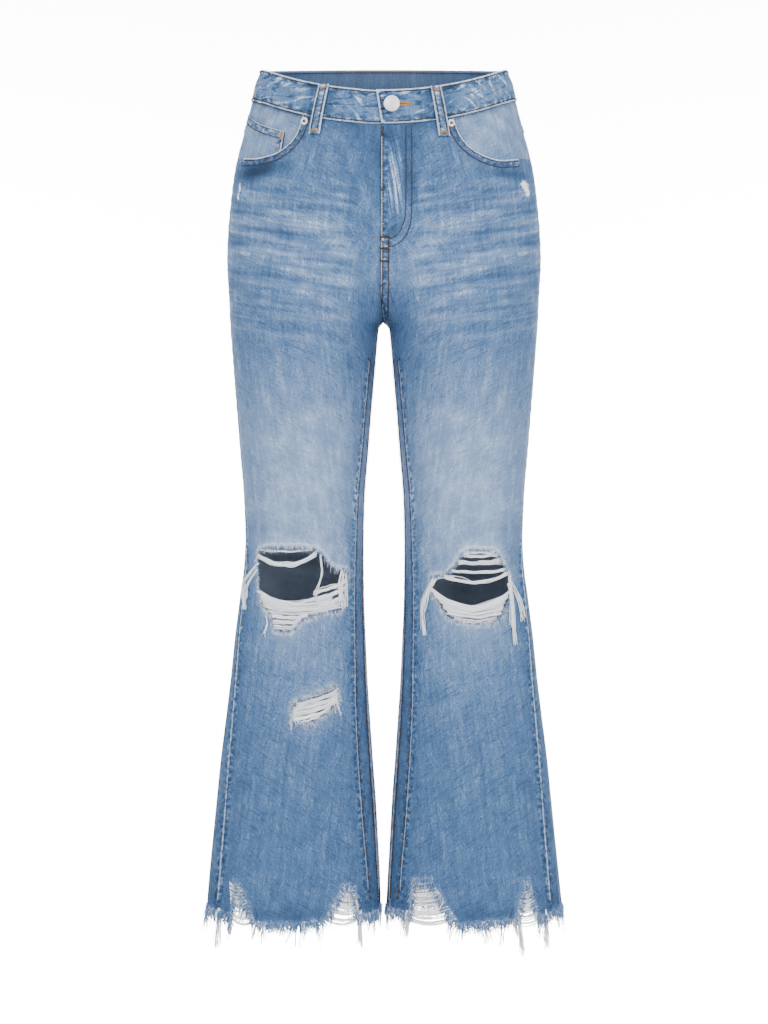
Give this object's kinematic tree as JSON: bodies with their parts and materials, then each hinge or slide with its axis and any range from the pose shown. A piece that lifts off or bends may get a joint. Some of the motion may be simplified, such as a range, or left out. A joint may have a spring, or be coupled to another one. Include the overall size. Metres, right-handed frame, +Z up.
{
  "type": "ripped jeans",
  "caption": "High-rise cropped kick-flare jeans in light denim, filled out as worn, with ripped knees, a ripped shin and chewed, frayed hems.",
  "frame": {"origin": "centre of the waist opening, at half the height of the waistband's sides, where a wearer or a form holds the garment", "axes": "+Z up, -Y the front of the garment, +X the wearer's left"},
  "size_m": [0.3948, 0.2256, 0.9757],
  "materials": {
    "denim": "matte twill denim, faded and whiskered",
    "bare_yarn": "loose undyed cotton yarn",
    "pocket_cloth": "plain cotton pocketing",
    "metal": "worn matte silver"
  },
  "bodies": {
    "root": {"waistband": "denim", "front_panel_left": "denim", "front_panel_right": "denim", "back_panel_left": "denim", "back_panel_right": "denim", "back_yoke_left": "denim", "back_yoke_right": "denim", "back_pocket_left": "denim", "back_pocket_right": "denim", "pocket_facing_left": "denim", "pocket_facing_right": "denim", "coin_pocket": "denim", "fly_shield": "denim", "pocket_bag_left": "pocket_cloth", "pocket_bag_right": "pocket_cloth", "belt_loop_front_left": "denim", "belt_loop_front_right": "denim", "belt_loop_side_left": "denim", "belt_loop_side_right": "denim", "belt_loop_back": "denim", "knee_threads_left": "bare_yarn", "knee_threads_right": "bare_yarn", "shin_threads_right": "bare_yarn", "hem_fringe_front_left": "bare_yarn", "hem_fringe_front_right": "bare_yarn", "hem_fringe_back_left": "bare_yarn", "hem_fringe_back_right": "bare_yarn", "button": "metal", "rivet_left": "metal", "rivet_right": "metal"}
  },
  "joints": []
}
